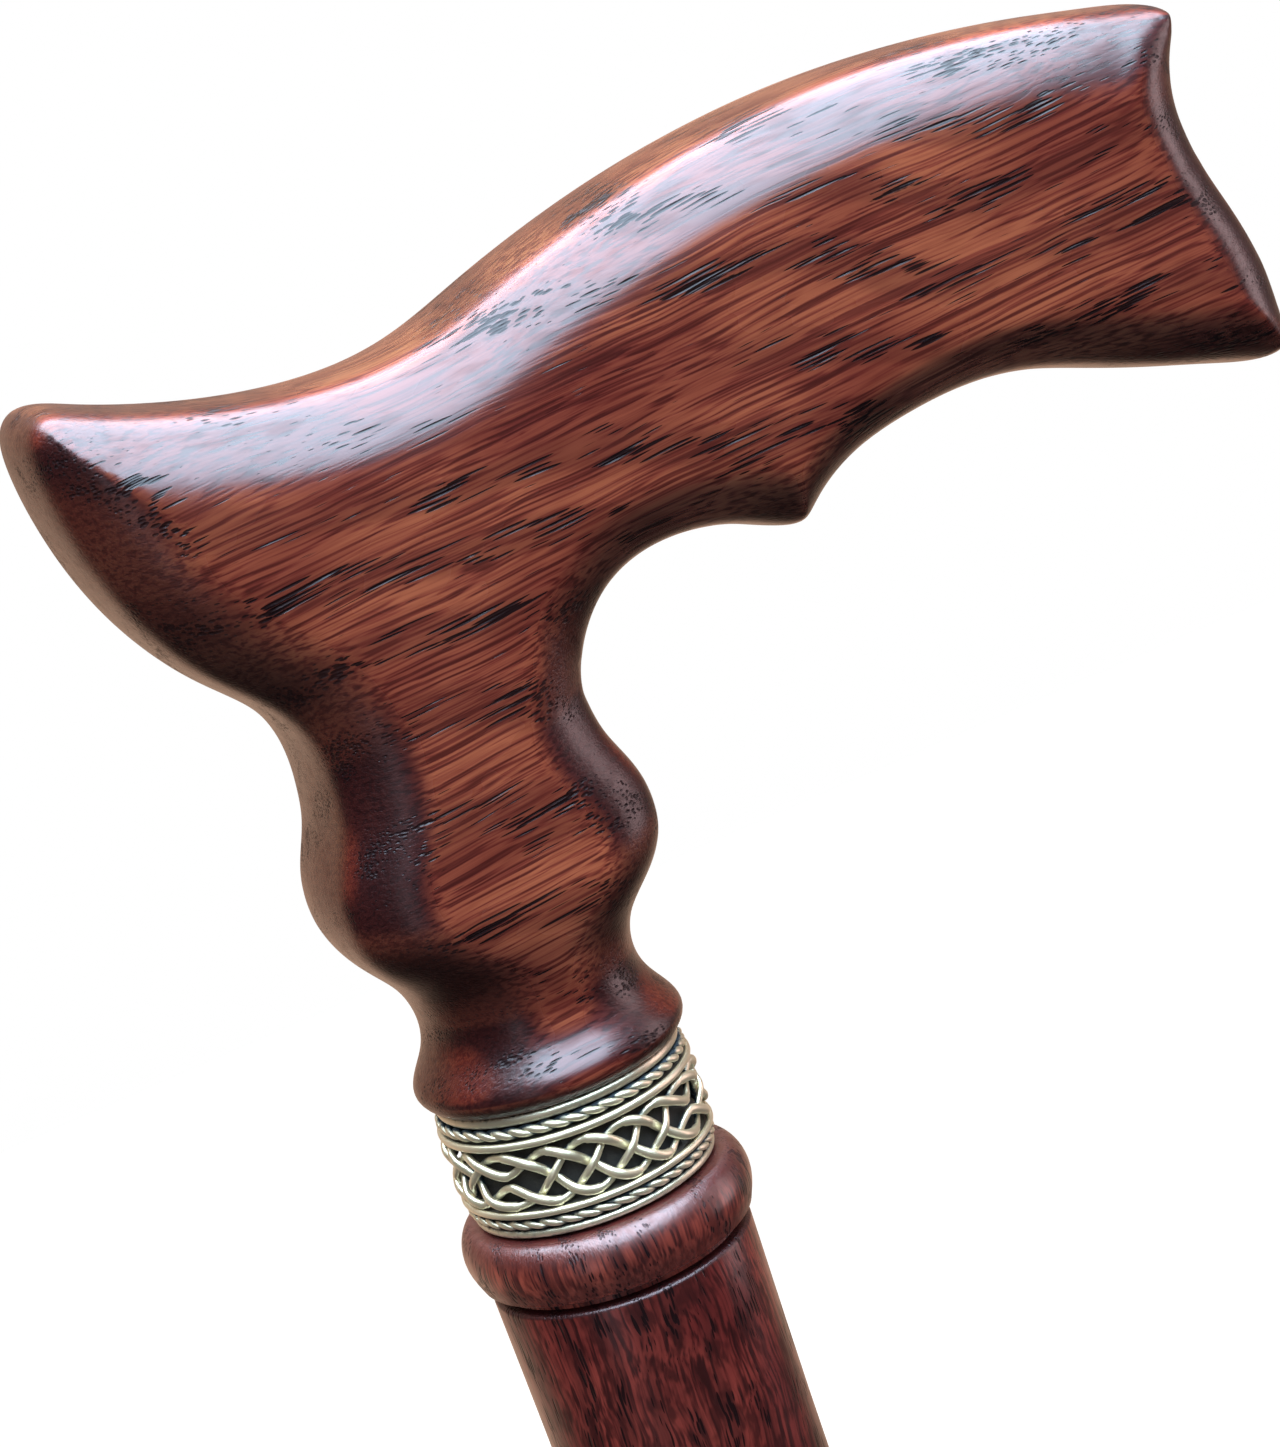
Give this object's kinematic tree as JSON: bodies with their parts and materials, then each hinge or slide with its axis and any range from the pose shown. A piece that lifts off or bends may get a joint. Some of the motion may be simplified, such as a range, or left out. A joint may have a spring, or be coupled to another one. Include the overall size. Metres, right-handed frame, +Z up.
{
  "type": "walking cane",
  "caption": "Walking cane with a carved wooden palm handle, a silver ring with rope and interlace borders, a turned collar, a tapering shaft and a pull-off rubber tip.",
  "frame": {"origin": "on the shaft's axis, on top of the handle, where the hand that holds the cane bears down", "axes": "+Z up the shaft's axis, +X along the handle towards its palm end, +Y across the handle, away from the side that the picture shows"},
  "size_m": [0.1292, 0.034, 0.9211],
  "materials": {
    "handle_wood": "open-pored wood stained red mahogany under satin-gloss lacquer",
    "shaft_wood": "straight-grained wood stained dark red brown under satin-gloss lacquer",
    "silver": "warm polished silver, tarnished in the recesses",
    "dark_silver": "blackened rough silver",
    "brass": "plain turned brass",
    "steel": "plain zinc-plated steel",
    "rubber": "matte black rubber"
  },
  "bodies": {
    "cane": {"shaft": "shaft_wood", "collar": "handle_wood", "ring_sleeve": "dark_silver", "lower_outer_bead": "silver", "lower_rope": "silver", "lower_inner_bead": "silver", "interlace_strand_1": "silver", "interlace_strand_2": "silver", "upper_inner_bead": "silver", "upper_rope": "silver", "upper_outer_bead": "silver", "handle": "handle_wood", "handle_insert": "brass", "hanger_bolt": "steel"},
    "tip": {"rubber_tip": "rubber", "tip_disc": "steel"}
  },
  "joints": [
    {"name": "tip_slide", "type": "slide", "parent": "cane", "child": "tip", "axis": [0, 0, -1], "range_m": [0, 0.03]}
  ]
}
